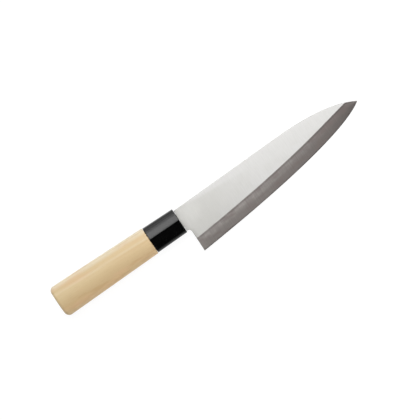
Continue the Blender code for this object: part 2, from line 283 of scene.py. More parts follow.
# %% Spine and tip
RIM_ROUNDING = 0.2  # the spine, heel and neck are eased by hand
SEARCH_FROM, SEARCH_TO, SEARCH_POINTS = 20, 2, 1500  # millimetres behind the point
RISE_POINTS, FALL_POINTS, TIP_POINTS = 40, 110, 26

# The bevel's line reaches the spine where the inner line of the rounded spine crosses it.
trial = np.linspace(POINT[0] - SEARCH_FROM, POINT[0] - SEARCH_TO, SEARCH_POINTS)
slope = np.gradient(spine_at(trial), trial)
trial_inner = np.column_stack((trial + RIM_ROUNDING * slope / np.hypot(1, slope),
                               spine_at(trial) - RIM_ROUNDING / np.hypot(1, slope)))
meeting = float(np.interp(0, bevel_at(trial_inner[:, 0]) - trial_inner[:, 1], trial))
spine_x = np.concatenate((np.linspace(SHOULDER, SPINE_FALL[0], RISE_POINTS, endpoint=False),
                          np.linspace(SPINE_FALL[0], meeting, FALL_POINTS, endpoint=False)))
tip_x = np.linspace(meeting, POINT[0], TIP_POINTS)
tip_half = (spine_at(tip_x) - edge_at(tip_x)) / (spine_at(meeting) - edge_at(meeting))
print("the bevel reaches the spine", round(POINT[0] - meeting, 2), "mm behind the point")

# %% Whole path of the rim
TANG_END = 44.3
TANG_HALF_AT_END, TANG_HALF_AT_SHOULDER = 3.5, 6.0
LARGEST_ROUNDING = 0.45  # of the half thickness, so that a wall stays between the two quarter rounds
RIM = np.concatenate((
    bevel_back,
    fillet,
    [(SHOULDER, -NECK_BELOW), (SHOULDER, -TANG_HALF_AT_SHOULDER), (TANG_END, -TANG_HALF_AT_END),
     (TANG_END, TANG_HALF_AT_END), (SHOULDER, TANG_HALF_AT_SHOULDER)],
    np.column_stack((spine_x, spine_at(spine_x))),
    np.column_stack((tip_x, spine_at(tip_x))),
))
BACK, TIP = len(BEVEL_SHARES) - 1, len(RIM) - len(tip_x)  # places in the path where the bevel's line ends
rim_half = np.full(len(RIM), BLADE_HALF)
rim_half[:BACK] = BLADE_HALF * bevel_half(BEVEL_SHARES[:-1])
rim_half[TIP:] = BLADE_HALF * tip_half
rim_rounding = np.minimum(RIM_ROUNDING, LARGEST_ROUNDING * rim_half)
rim_rounding[:BACK] = RIM_ROUNDING * BEVEL_SHARES[:-1]
length_along = np.concatenate(([0], np.cumsum(np.linalg.norm(np.diff(RIM, axis=0), axis=1))))
print("length of the rim", round(length_along[-1], 1), "mm")


# %% Profile carried along the path
def carried_rim(path, half, rounding, steps=6):
    """Quarter rounds of the given radii along a path. Each point moves inwards along the mitre of its two
    neighbouring stretches by r(1 - sin a), and down from the flat by r(1 - cos a), as a goes from 0 to 90
    degrees."""
    run = np.diff(path, axis=0)
    normals = np.column_stack((-run[:, 1], run[:, 0])) / np.linalg.norm(run, axis=1)[:, None]
    before, after = np.vstack((normals[:1], normals)), np.vstack((normals, normals[-1:]))
    mitre = (before + after) / (1 + (before * after).sum(axis=1))[:, None]
    a = np.linspace(0, math.pi / 2, steps)[:, None]
    inwards = rounding * (1 - np.sin(a))
    flat = path - mitre * inwards[:, :, None]
    height = half - rounding * (1 - np.cos(a))
    right = np.dstack((flat, height))
    return np.concatenate((right, (right * (1, 1, -1))[::-1]))


rim_points = carried_rim(RIM, rim_half, rim_rounding)
rim_chart = np.dstack(np.broadcast_arrays(length_along, rim_points[:, :, 2]))
print("points on the rim", rim_points.shape[:2])

# %% [markdown]
# ## Bevels and flats
# A bevel is a ruled surface, which is what a wheel leaves. For each step along the blade, a straight line joins
# a point of the edge to a point of the bevel's upper line, and the profile from above gives its thickness. The
# flats are planes, so each is one face inside the rim and the bevel's line. The left side is the right one with
# Z turned round. The steel has four finishes: the flats, the bevels, the honed edge and the rim.

# %% Lines along the blade
LINE_POINTS, FIRST_STEP = 150, 0.0005  # the line starts on the heel's rim, and a short step brings it on course
line_start, line_end = rim_points[0, BACK], rim_points[0, TIP]
share_along = np.concatenate(([0, FIRST_STEP], np.linspace(0, 1, LINE_POINTS)[1:]))
line_x = line_start[0] + (line_end[0] - line_start[0]) * share_along
line = np.column_stack((line_x, bevel_at(line_x)))
line[0], line[-1] = line_start[:2], line_end[:2]
edge_x = np.concatenate((HEEL[0] + (meeting - HEEL[0]) * share_along, tip_x[1:]))
edge = np.column_stack((edge_x, edge_at(edge_x)))
upper = np.vstack((line, rim_points[0, TIP + 1:, :2]))
top_half = np.concatenate((np.full(len(line), BLADE_HALF), rim_half[TIP + 1:]))
edge_length = np.concatenate(([0], np.cumsum(np.linalg.norm(np.diff(edge, axis=0), axis=1))))
print("edge length", round(edge_length[-1], 1), "mm")


# %% Surfaces of the blade
def ruled(lower, upper, top_half, shares):
    """Rows between two lines: lower + share * (upper - lower), with the bevel's half thickness as z."""
    flat = lower + (upper - lower) * shares[:, None, None]
    return np.dstack((flat, bevel_half(shares)[:, None] * top_half))


FLAT, GROUND, HONED, EASED = range(4)
RIGHT, LEFT = np.array((1, 1, 1)), np.array((1, 1, -1))
blade_sheets = [sheet(rim_points, EASED, chart=rim_chart)]
for side in (RIGHT, LEFT):
    for shares, finish in ((HONED_SHARES, HONED), (GROUND_SHARES, GROUND)):
        points = ruled(edge, upper, top_half, shares)
        chart = np.dstack(np.broadcast_arrays(edge_length, BEVEL_HEIGHT * shares[:, None]))
        blade_sheets.append(sheet(points * side, finish, chart=chart))
    outline = np.vstack((np.column_stack((line, top_half[:len(line)])), rim_points[0, TIP - 1:BACK:-1]))
    blade_sheets.append(sheet(outline * side, FLAT))
print("sheets of the blade", len(blade_sheets))

# %% [markdown]
# ## The section of the handle
# The handle is an oval with a ridge along its right side, for the curled fingers of a right hand. It isn't
# round, so no profile turned about an axis makes it, but a formula gives its section. Going once round it, the
# left half is half an ellipse. On the right half, the height over the ridge falls off in proportion to the
# distance from the ridge at first, which makes the crease, and as an ellipse does further out. The wood is
# sanded soft, and the moulded ferrule is crisp. The points crowd together at the ridge, where the shape bends
# most.

# %% Cross-section
RIDGE_ABOVE_CENTRE, RIDGE_STRENGTH, FULLNESS = 0.9, 0.77, 2.8
SOFT_RIDGE, CRISP_RIDGE = 0.22, 0.02
AROUND, CROWDING = 240, 0.75
even_turn = np.arange(AROUND) * 2 * math.pi / AROUND
TURN = even_turn - CROWDING * np.sin(even_turn)


def section(height, thickness, softness):
    """Rings of y and z, one for each height and thickness. With s from 0 at the ridge to 1 at the spine side
    or edge side, the right half has z = (1 - r s - (1 - r) s s) ** (1 / f) of the half thickness, where r is
    the ridge's strength and f the fullness of the shoulders beside it."""
    height, thickness = np.atleast_1d(height)[:, None], np.atleast_1d(thickness)[:, None]
    rise, side = np.sin(TURN), np.cos(TURN)
    s = (np.hypot(rise, softness) - softness) / (math.hypot(1, softness) - softness)
    ridged = np.clip(1 - RIDGE_STRENGTH * s - (1 - RIDGE_STRENGTH) * s * s, 0, None) ** (1 / FULLNESS)
    y = rise * height / 2 + RIDGE_ABOVE_CENTRE * np.clip(side, 0, None) ** 2
    return np.dstack((y, np.where(side > 0, ridged, side) * thickness / 2))


print("widest step round a section", round(math.degrees(np.diff(TURN).max()), 2), "degrees")


# %% Rings along the handle
def rings_at(x, rings):
    """Puts rings of y and z at their places along X."""
    x = np.broadcast_to(np.atleast_1d(x), len(rings))
    return np.dstack((np.broadcast_to(x[:, None], rings.shape[:2]), rings))


def shrunk(rings, depth):
    """Moves each ring's points towards the centre line by a depth."""
    return rings * (1 - np.atleast_1d(depth)[:, None] / np.linalg.norm(rings, axis=2))[:, :, None]


def blended(first, last, shares):
    """Flat rows from one ring to another: first + share * (last - first)."""
    return first + (last - first) * np.asarray(shares)[:, None, None]


def tapered(sizes, share):
    """A size that changes evenly from the first one to the second: first + share * (second - first)."""
    return sizes[0] + (sizes[1] - sizes[0]) * share


def quarter(radius, steps):
    """How far along and how far in, from an end face round to the side: r(1 - cos a) and r(1 - sin a)."""
    a = np.linspace(0, math.pi / 2, steps)
    return radius * (1 - np.cos(a)), radius * (1 - np.sin(a))


# %% Rings round the tang
RAY_HEIGHT, RAY_THICKNESS = 24.0, 18.0  # a section like the ferrule's, so that rings and rays line up
NEVER_ZERO = 1e-9  # a ray along an axis would be divided by zero


def tang_ring(x, grown):
    """A rectangle round the tang at x, wider by the same amount all round, with as many points as a section.

    Each point lies where the ray at its section's angle leaves the rectangle, and the nearest ones move onto
    the four corners.
    """
    half_y = np.interp(x, (TANG_END, SHOULDER), (TANG_HALF_AT_END, TANG_HALF_AT_SHOULDER)) + grown
    half_z = BLADE_HALF + grown
    ray = section(RAY_HEIGHT, RAY_THICKNESS, CRISP_RIDGE)[0]
    ray = ray / np.linalg.norm(ray, axis=1)[:, None]
    to_y, to_z = np.abs(ray.T).clip(NEVER_ZERO)
    ring = ray * np.minimum(half_y / to_y, half_z / to_z)[:, None]
    for corner in ((half_y, half_z), (half_y, -half_z), (-half_y, half_z), (-half_y, -half_z)):
        ring[np.argmax(ray @ corner)] = corner
    return ring[None]


# %% [markdown]
# ## The ferrule
# The ferrule is a moulded cap. It covers the front of the handle and stops the wood from splitting. Its skin
# goes from the slot's mouth over the front face, round the eased front rim, back along the outside, round the
# rear rim and then forward inside to the slot again, so it closes on itself like the skin of a ring. A tube with
# a Solidify modifier would have one wall thickness all over, and a moulded cap's front wall is thicker.

# %% Sizes of the ferrule
FERRULE_REAR, FERRULE_FRONT, FERRULE_FLOOR = 94.0, 124.0, 121.5
FERRULE_HEIGHTS, FERRULE_THICKNESSES = (24.4, 23.4), (18.9, 18.1)  # at the rear and in front
FERRULE_WALL, FERRULE_EASING = 1.8, 0.5
BORE_GROWN = 1.1  # how much wider than the tang the slot and the bore are


def ferrule_section(x, wall=0.0):
    """The ferrule's outline at x, or one that lies a wall inside it."""
    share = (np.atleast_1d(x) - FERRULE_REAR) / (FERRULE_FRONT - FERRULE_REAR)
    height, thickness = tapered(FERRULE_HEIGHTS, share), tapered(FERRULE_THICKNESSES, share)
    return section(height - 2 * wall, thickness - 2 * wall, CRISP_RIDGE)


# %% Ferrule surface
EASING_STEPS, FERRULE_MARGIN = 7, 1.0  # the margin keeps the long sides clear of the eased rims
along, depth = quarter(FERRULE_EASING, EASING_STEPS)
front_x = FERRULE_FRONT - along
front_rings = rings_at(front_x, shrunk(ferrule_section(front_x), depth))
side_x = np.linspace(FERRULE_FRONT - FERRULE_MARGIN, FERRULE_REAR + FERRULE_MARGIN, 16)
rear_x = (FERRULE_REAR + along)[::-1]
rear_rings = rings_at(rear_x, shrunk(ferrule_section(rear_x), depth[::-1]))
mouth = rings_at(FERRULE_FRONT, tang_ring(FERRULE_FRONT, BORE_GROWN))
throat = rings_at(FERRULE_FLOOR, tang_ring(FERRULE_FLOOR, BORE_GROWN))
inside_x = np.linspace(FERRULE_REAR, FERRULE_FLOOR, 6)
inside_rings = rings_at(inside_x, ferrule_section(inside_x, FERRULE_WALL))
ferrule_rows = np.concatenate((
    throat, mouth, blended(mouth[0], front_rings[0], (0.35, 0.7, 0.9, 0.97)),
    front_rings, rings_at(side_x, ferrule_section(side_x)), rear_rings,
    inside_rings, blended(inside_rings[-1], throat[0], (0.5,)), throat,
))
print("rings of the ferrule", len(ferrule_rows))

# %% [markdown]
# ## The handle
# The wooden grip tapers towards the ferrule. Its butt is rounded over: a lot at the corners on the spine side
# and the edge side, which press into the palm, and little on the two faces between them. In front the wood is
# chamfered, stands a little proud of the ferrule and is turned down to a tenon that fills it. The tang's bore
# runs down the middle. One skin covers all of this, from the middle of the butt to the bottom of the bore. The
# bore could be cut out of a solid, but as the end of the same skin it leaves the rings whole.

# %% Sizes of the handle
GRIP_LENGTH = 93.7
GRIP_HEIGHTS, GRIP_THICKNESSES = (28.7, 25.3), (22.4, 19.8)  # at the butt and in front
GRIP_CHAMFER, TENON_CHAMFER = 0.4, 0.6
SPINE_SIDE_ROUNDING, EDGE_SIDE_ROUNDING, FACE_ROUNDING = 4.2, 4.6, 1.8
BUTT_STEPS, BUTT_POWER = 12, 3
FIT_GAP = 0.3


def grip_section(x):
    """The grip's outline at x. Height and thickness shrink evenly from the butt to the front."""
    share = np.atleast_1d(x) / GRIP_LENGTH
    return section(tapered(GRIP_HEIGHTS, share), tapered(GRIP_THICKNESSES, share), SOFT_RIDGE)


def butt_rows(steps):
    """The rounded end: a quarter round. Its radius grows from that of the faces to that of the corners with
    the cube of the distance from the middle."""
    butt = grip_section(0.0)
    rise = 2 * butt[0, :, 0] / GRIP_HEIGHTS[0]
    corner = np.where(rise > 0, SPINE_SIDE_ROUNDING, EDGE_SIDE_ROUNDING)
    radius = FACE_ROUNDING + (corner - FACE_ROUNDING) * np.abs(rise) ** BUTT_POWER
    along, depth = (part[:, None] * radius for part in quarter(1.0, steps))
    rings = butt * (1 - depth / np.linalg.norm(butt, axis=2))[:, :, None]
    # The rounded end tapers as the grip does, which loses this share of each size over its whole length.
    lost = np.array([1 - sizes[1] / sizes[0] for sizes in (GRIP_HEIGHTS, GRIP_THICKNESSES)])
    return np.dstack((along, rings * (1 - (along / GRIP_LENGTH)[:, :, None] * lost)))


# %% Grip
ROUND_END, GRIP_MARGIN = 5.4, 1.0  # the even rings start past the rounded butt and stop before the chamfer
butt_edge = butt_rows(BUTT_STEPS)
butt_middle = np.zeros((1, AROUND, 3))
grip_x = np.linspace(ROUND_END, GRIP_LENGTH - GRIP_MARGIN, 60)
chamfer_along, chamfer_depth = quarter(GRIP_CHAMFER, 5)
chamfer_x = (GRIP_LENGTH - chamfer_along)[::-1]
grip_rows = np.concatenate((
    butt_middle, blended(butt_middle[0], butt_edge[0], (0.2, 0.45, 0.7, 0.9, 0.98)),
    butt_edge, rings_at(grip_x, grip_section(grip_x)),
    rings_at(chamfer_x, shrunk(grip_section(chamfer_x), chamfer_depth[::-1])),
))
print("rings of the grip", len(grip_rows))

# %% Tenon and bore
tenon_wall = FERRULE_WALL + FIT_GAP
tenon_front = FERRULE_FLOOR - FIT_GAP
tenon_x = np.array((GRIP_LENGTH, tenon_front - TENON_CHAMFER))
bore_x = np.array((tenon_front, TANG_END - BORE_GROWN))
handle_rows = np.concatenate((
    grip_rows, rings_at(tenon_x, ferrule_section(tenon_x, tenon_wall)),
    rings_at(tenon_front, shrunk(ferrule_section(tenon_front, tenon_wall), TENON_CHAMFER)),
    *(rings_at(x, tang_ring(x, BORE_GROWN)) for x in bore_x),
    np.broadcast_to((bore_x[1], 0.0, 0.0), (1, AROUND, 3)),
))
print("rings of the handle", len(handle_rows))

# %% [markdown]
# ## The resin
# The tang is bedded in resin, poured into the bore with the blade held upright. It fills the ferrule's slot and
# creeps up the steel and the plastic a little before it sets, so its surface is a shallow hollow. Rings round
# the tang, each a little nearer to it than the last, follow that hollow from the slot's wall to the steel.

# %% Resin surface
RESIN_WALL = 0.5
CREEP, HOLLOW, RISE_ON_STEEL, BELOW_FRONT = 0.6, 0.28, 0.12, 0.05
AT_SLOT, AT_STEEL = 1.08, 0.04  # how much wider than the tang the resin is where it touches the two
IN_BORE = FIT_GAP + RESIN_WALL
bead_share = np.linspace(0, 1, 7)
bead_grown = AT_SLOT - (AT_SLOT - AT_STEEL) * bead_share
bead_x = FERRULE_FRONT - BELOW_FRONT - HOLLOW * np.sin(math.pi * bead_share) + RISE_ON_STEEL * bead_share
outer_x, outer_grown = (TANG_END - IN_BORE, FERRULE_FLOOR, FERRULE_FRONT - CREEP), (IN_BORE, IN_BORE, AT_SLOT)
inner_x, inner_grown = (FERRULE_FRONT - CREEP, FERRULE_FLOOR, TANG_END - FIT_GAP), (AT_STEEL, FIT_GAP, FIT_GAP)


def sleeve(places, grown):
    """Rings round the tang, each at its place and as much wider than the tang as it says."""
    return np.concatenate([rings_at(x, tang_ring(x, more)) for x, more in zip(places, grown)])


resin_rows = np.concatenate((
    np.broadcast_to((outer_x[0], 0.0, 0.0), (1, AROUND, 3)), sleeve(outer_x, outer_grown),
    sleeve(bead_x, bead_grown),
    sleeve(inner_x, inner_grown), np.broadcast_to((inner_x[-1], 0.0, 0.0), (1, AROUND, 3)),
))
print("depth of the hollow", round(float(bead_x.max() - bead_x.min()), 2), "mm")

# %% [markdown]
# ## Colours and nodes
# A colour is written as it looks on a screen, as a hex value, and Blender wants it linear, so one function
# converts it. Another function adds a shader node with its settings and links, and every material below is
# built with it. A Map Range node moves a value from one range to another, so its four numbers are those two
# ranges. Patterns need the knife's own axes: a mapping node undoes the lean and turns metres into millimetres.
# On the bevels and the rim, patterns follow the surface's own chart instead.

# %% Settings and units
SOFT = {"interpolation_type": "SMOOTHSTEP"}
PLUS, MINUS, TIMES = {"operation": "ADD"}, {"operation": "SUBTRACT"}, {"operation": "MULTIPLY"}
TIMES_PLUS, SIZE = {"operation": "MULTIPLY_ADD"}, {"operation": "ABSOLUTE"}
BACK_AND_FORTH, DISTANCE = {"operation": "PINGPONG"}, {"operation": "DISTANCE"}
MICRON = 1e-6  # a bump's height is in metres


# %% Helpers for materials
def colour(code):
    """sRGB hex to linear: v / 12.92 up to 0.04045, otherwise ((v + 0.055) / 1.055) to the power 2.4."""
    value = np.array([int(code[i:i + 2], 16) / 255 for i in (1, 3, 5)])
    return (*np.where(value <= 0.04045, value / 12.92, ((value + 0.055) / 1.055) ** 2.4), 1.0)


def add(tree, kind, *values, settings=None, **named):
    """Adds a shader node. Values go into its sockets in order, or by name with _ for a space. A node given as
    a value stands for its first output."""
    node = tree.nodes.new("ShaderNode" + kind)
    for name, value in (settings or {}).items():
        setattr(node, name, value)
    by_name = [(name.replace("_", " "), value) for name, value in named.items()]
    for socket, value in [*enumerate(values), *by_name]:
        value = value.outputs[0] if isinstance(value, bpy.types.Node) else value
        if isinstance(value, bpy.types.NodeSocket):
            tree.links.new(value, node.inputs[socket])
        else:
            node.inputs[socket].default_value = value
    return node


def new_material(name):
    """An empty material and its node tree."""
    made = bpy.data.materials.new(name)
    made.use_nodes = True
    made.node_tree.nodes.clear()
    return made, made.node_tree


def counted(made):
    """Prints how many nodes a material has, and hands it on."""
    print(made.name, "has", len(made.node_tree.nodes), "nodes")
    return made


print("the middle grey #808080 is", round(float(colour("#808080")[0]), 3), "in linear light")


# %% Places on the knife
def knife_place(tree):
    """The place on the knife, in millimetres in its own axes."""
    lean = Matrix(KNIFE_AXES.tolist()).transposed().to_euler()
    return add(tree, "Mapping", Vector=add(tree, "TexCoord").outputs["Object"], Location=butt_centre,
               Rotation=lean, Scale=(MM,) * 3, settings={"vector_type": "TEXTURE"})


def chart_place(tree):
    """The place on the surface's own chart, in millimetres."""
    return add(tree, "Mapping", Vector=add(tree, "UVMap", settings={"uv_map": "chart"}),
               Scale=(CHART_SPAN,) * 3)


# %% [markdown]
# ## Satin flats
# The blade is stainless steel. Its flats were drawn over a fine belt from spine to edge, which leaves hair lines
# 0.05 to 0.1 mm apart and a soft, blurred mirror image. A pixel of the render is 0.85 mm, so the lines are drawn
# ten times as coarse. Noise squeezed to their proportions draws them in colour, roughness and relief alike. A
# painted reflection makes the flats a shade brighter towards the point and in a band along the spine, and
# painted shade makes them darkest along the neck, beside the ferrule, and along the heel's back. They are also
# brighter in a patch just ahead of the neck.

# %% Flats
# The middle of a patch where the flat's colour is a shade brighter.
BRIGHT_PATCH = (137, 1, 0)  # where finger and thumb hold the blade


def satin_flats():
    made, tree = new_material("satin stainless steel")
    place = knife_place(tree)
    x, y, _ = add(tree, "SeparateXYZ", place).outputs
    hairs = add(tree, "TexNoise", Vector=add(tree, "Mapping", Vector=place, Scale=(1 / 0.9, 1 / 11, 1 / 45)),
                Scale=1.0, Detail=3.0, Roughness=0.6)
    clouds = add(tree, "TexNoise", Vector=place, Scale=1 / 14, Detail=2.0)
    # Painted reflection: the flat's colour gets lighter towards the point.
    reflection_to_point = add(tree, "MapRange", x, 138, 208, 0, 1, settings=SOFT)
    up_to_spine = add(tree, "Math", x, 0.07, y, settings=TIMES_PLUS)
    # Painted reflection: a brighter band along the spine.
    spine_reflection_band = add(tree, "Math", add(tree, "MapRange", up_to_spine, 16.0, 19.4, 0, 1, settings=SOFT),
                     add(tree, "MapRange", x, 129, 146, 0, 1, settings=SOFT), settings=TIMES)
    heel_back = add(tree, "MapRange", y, -13, -9, -3.2, 0, settings=SOFT)
    from_neck = add(tree, "Math", x, heel_back, settings=PLUS)
    from_middle = add(tree, "Math", add(tree, "Math", y, 1.0, settings=MINUS), settings=SIZE)
    # Painted shade: darker along the neck beside the ferrule and along the heel's back.
    neck_shade = add(tree, "Math", add(tree, "MapRange", from_neck, 124.8, 128.8, 1, 0, settings=SOFT),
                  add(tree, "MapRange", from_middle, 1, 8, 0.05, 0.36), settings=TIMES)
    # Distance from the middle of the brighter patch just ahead of the neck.
    from_bright_patch = add(tree, "VectorMath", place, BRIGHT_PATCH, settings=DISTANCE).outputs["Value"]
    tone = add(tree, "MixRGB", reflection_to_point, colour("#d2d1cd"), colour("#dfdedc"))
    for share, code in (
        (add(tree, "MapRange", clouds, 0.4, 0.7, 0, 0.3, settings=SOFT), "#cfcec9"),
        (add(tree, "MapRange", from_bright_patch, 3, 12, 0.5, 0, settings=SOFT), "#deddd9"),
        (spine_reflection_band, "#dedddb"),
        (neck_shade, "#aba9a5"),
        (add(tree, "MapRange", hairs, 0.35, 0.7, 0, 0.18), "#bfbfbb"),
    ):
        tone = add(tree, "MixRGB", share, tone, colour(code))
    add(tree, "OutputMaterial", add(
        tree, "BsdfPrincipled", Base_Color=tone, Metallic=1.0,
        Roughness=add(tree, "MapRange", hairs, 0.3, 0.7, 0.31, 0.37),
        Normal=add(tree, "Bump", Height=hairs, Distance=2 * MICRON)))
    return made


flats = counted(satin_flats())

# %% [markdown]
# ## Ground bevels
# The bevels come off a coarser wet wheel, held square to the edge. The finish is rougher, darker and slightly
# brown, with strokes across the bevel that run out unevenly and brighter patches in its upper half where the
# wheel touched twice. Painted light makes the upper half lighter than the lower, and painted shade draws a dark
# line just below the flat and darkens the bevel towards the point, less so in the upper half at the very end. A
# wheel's grit leaves strokes some 0.1 mm wide, and they are drawn ten times as wide to show. The pattern lies on
# the bevel's chart, so that the strokes stay square to the edge where the edge curves. On the chart X is the
# length along the edge and Y the height above it.


# %% Bevels
def ground_bevels():
    made, tree = new_material("ground stainless steel")
    place = chart_place(tree)
    x, y, _ = add(tree, "SeparateXYZ", place).outputs
    strokes = add(tree, "TexNoise", Vector=add(tree, "Mapping", Vector=place, Scale=(1 / 1.1, 1 / 30, 1)),
                  Scale=1.0, Detail=4.0, Roughness=0.6)
    clouds = add(tree, "TexNoise", Vector=add(tree, "Mapping", Vector=place, Scale=(1 / 16, 1 / 6, 1)),
                 Scale=1.0, Detail=2.0)
    touches = add(tree, "TexNoise", Vector=add(tree, "Mapping", Vector=place, Scale=(1 / 7, 1 / 4, 1)),
                  Scale=1.0)
    upper_half = add(tree, "MapRange", y, 4.5, 9.5, 0, 1, settings=SOFT)
    patches = add(tree, "Math", add(tree, "MapRange", touches, 0.46, 0.62, 0, 0.55, settings=SOFT), upper_half,
                  settings=TIMES)
    # Near the very point the painted shade eases off in the upper half.
    last_part = add(tree, "Math", add(tree, "MapRange", x, 166, 180, 0, 0.7), upper_half, settings=TIMES)
    # Painted shade: a dark line just below the flat.
    bevel_line_shade = add(tree, "Math", add(tree, "MapRange", y, 10.3, 11.3, 0, 0.28, settings=SOFT),
                     add(tree, "MapRange", y, 11.5, 12.2, 1, 0.4, settings=SOFT), settings=TIMES)
    from_heel = add(tree, "VectorMath", place, (0, 1, 0), settings=DISTANCE).outputs["Value"]
    # Painted light: the bevel's upper half is lighter than its lower half.
    tone = add(tree, "MixRGB", upper_half, colour("#a8a19d"), colour("#b6afac"))
    for share, code in (
        (patches, "#ccc7c3"),
        # Painted shade: the bevel gets darker towards the point.
        (add(tree, "MapRange", x, 65, 178, 0, 1), "#847d7a"),
        (add(tree, "MapRange", clouds, 0.45, 0.7, 0, 0.5, settings=SOFT), "#988a86"),
        (last_part, "#a8a29e"),
        (add(tree, "MapRange", strokes, 0.35, 0.7, 0, 0.32), "#857e7a"),
        (add(tree, "MapRange", from_heel, 3, 9, 0.4, 0, settings=SOFT), "#bab3ae"),
        (bevel_line_shade, "#4d4845"),
    ):
        tone = add(tree, "MixRGB", share, tone, colour(code))
    add(tree, "OutputMaterial", add(
        tree, "BsdfPrincipled", Base_Color=tone, Metallic=1.0,
        Roughness=add(tree, "MapRange", strokes, 0.3, 0.7, 0.36, 0.44),
        Normal=add(tree, "Bump", Height=strokes, Distance=3 * MICRON)))
    return made


bevels = counted(ground_bevels())

# %% [markdown]
# ## Honed edge and eased rim
# The last half millimetre is honed on a fine stone along the blade, so it is smoother and brighter. The spine,
# the neck and the heel's back are eased with a file, which leaves lines along them and a duller, darker grey, so
# that no bright line shows where they round over. Both finishes are lines that run along the blade. Real ones
# are too fine to show, so they are drawn coarser, 0.2 and 0.3 mm wide. They are drawn on the chart, so that
# they follow the edge and the rim round every bend.


# %% Honed edge
def honed_edge():
    made, tree = new_material("honed stainless steel")
    stretched = add(tree, "Mapping", Vector=chart_place(tree), Scale=(1 / 12, 1 / 0.2, 1))
    lines = add(tree, "TexNoise", Vector=stretched, Scale=1.0, Detail=3.0)
    add(tree, "OutputMaterial", add(
        tree, "BsdfPrincipled", Metallic=1.0,
        Base_Color=add(tree, "MixRGB", lines, colour("#a8a3a0"), colour("#bcb8b5")),
        Roughness=add(tree, "MapRange", lines, 0.3, 0.7, 0.24, 0.32)))
    return made


honed = counted(honed_edge())


# %% Eased rim
def filed_rim():
    made, tree = new_material("filed stainless steel")
    place = chart_place(tree)
    lines = add(tree, "TexNoise", Vector=add(tree, "Mapping", Vector=place, Scale=(1 / 14, 1 / 0.3, 1)),
                Scale=1.0, Detail=4.0, Roughness=0.6)
    clouds = add(tree, "TexNoise", Vector=place, Scale=1 / 9, Detail=2.0)
    tone = add(tree, "MixRGB", clouds, colour("#a8a7a3"), colour("#b4b3b0"))
    tone = add(tree, "MixRGB", add(tree, "MapRange", lines, 0.35, 0.7, 0, 0.3), tone, colour("#93928f"))
    add(tree, "OutputMaterial", add(
        tree, "BsdfPrincipled", Metallic=1.0, Base_Color=tone,
        Roughness=add(tree, "MapRange", lines, 0.3, 0.7, 0.4, 0.5),
        Normal=add(tree, "Bump", Height=lines, Distance=4 * MICRON)))
    return made


rim = counted(filed_rim())

# %% [markdown]
# ## Moulded plastic
# The ferrule is black ABS from a polished mould: deep black, with a clear mirror image of the lamps that draws
# the ridge. Handling leaves it hazy in places, with hairline scratches along it. Real scratches are some
# 0.02 mm wide and are drawn up to 0.4 mm wide. A slow ripple in the relief, as shrinking plastic has, keeps the
# mirror image from being ruler-straight.


# %% Black plastic
def moulded_plastic():
    made, tree = new_material("moulded black ABS")
    place = knife_place(tree)
    haze = add(tree, "TexNoise", Vector=add(tree, "Mapping", Vector=place, Scale=(1 / 12, 1 / 4, 1 / 4)),
               Scale=1.0, Detail=3.0)
    scratches = add(tree, "TexNoise", Scale=1.0, Detail=2.0,
                    Vector=add(tree, "Mapping", Vector=place, Scale=(1 / 8, 1 / 0.4, 1 / 0.4)))
    ripple = add(tree, "TexNoise", Vector=place, Scale=1 / 5, Detail=2.0)
    worn = add(tree, "MapRange", scratches, 0.6, 0.7, 0, 1, settings=SOFT)
    rough = add(tree, "Math", add(tree, "MapRange", haze, 0.35, 0.7, 0.13, 0.19),
                add(tree, "Math", worn, 0.06, settings=TIMES), settings=PLUS)
    add(tree, "OutputMaterial", add(
        tree, "BsdfPrincipled", Base_Color=add(tree, "MixRGB", worn, colour("#050505"), colour("#0f0f0e")),
        Roughness=rough, IOR=1.5, Normal=add(tree, "Bump", Height=ripple, Distance=10 * MICRON)))
    return made


plastic = counted(moulded_plastic())

# %% [markdown]
# ## Magnolia
# The handle is magnolia, a pale and even wood that is kind to the edge and to wet hands. It is sanded and left
# bare, so it has a soft sheen. The fibres run nearly along the handle. A single one is too fine to show, so
# bundles of them are drawn, about a millimetre wide. The growth rings are about 6 mm wide, as fast-grown wood
# has them, and hardly show. The pores are fine dashes of a tenth of a millimetre, drawn here three times as
# wide. Everything is a solid pattern: the rings are shells round a pith that lies outside the handle, so the
# long sides show lines and the butt shows arcs. An image wrapped round the handle would have a seam and the
# wrong butt. Along the spine's side the wood is painted paler, as a sheen, with a pale streak beside it. A
# browner core with stains runs along the side near the edge, and painted shade darkens it where it curves under.

# %% Places in the wood
GRAIN_TURN = math.radians(2.2)
PITH, STREAK, HEART = (0, 34.0, -46.0), (0, 6.9, 9.6), (0, -7, 7)  # y and z of lines that run along the grain
HALF_RING = 3.1
print("pith", round(math.hypot(*PITH), 1), "mm from the handle's centre line")


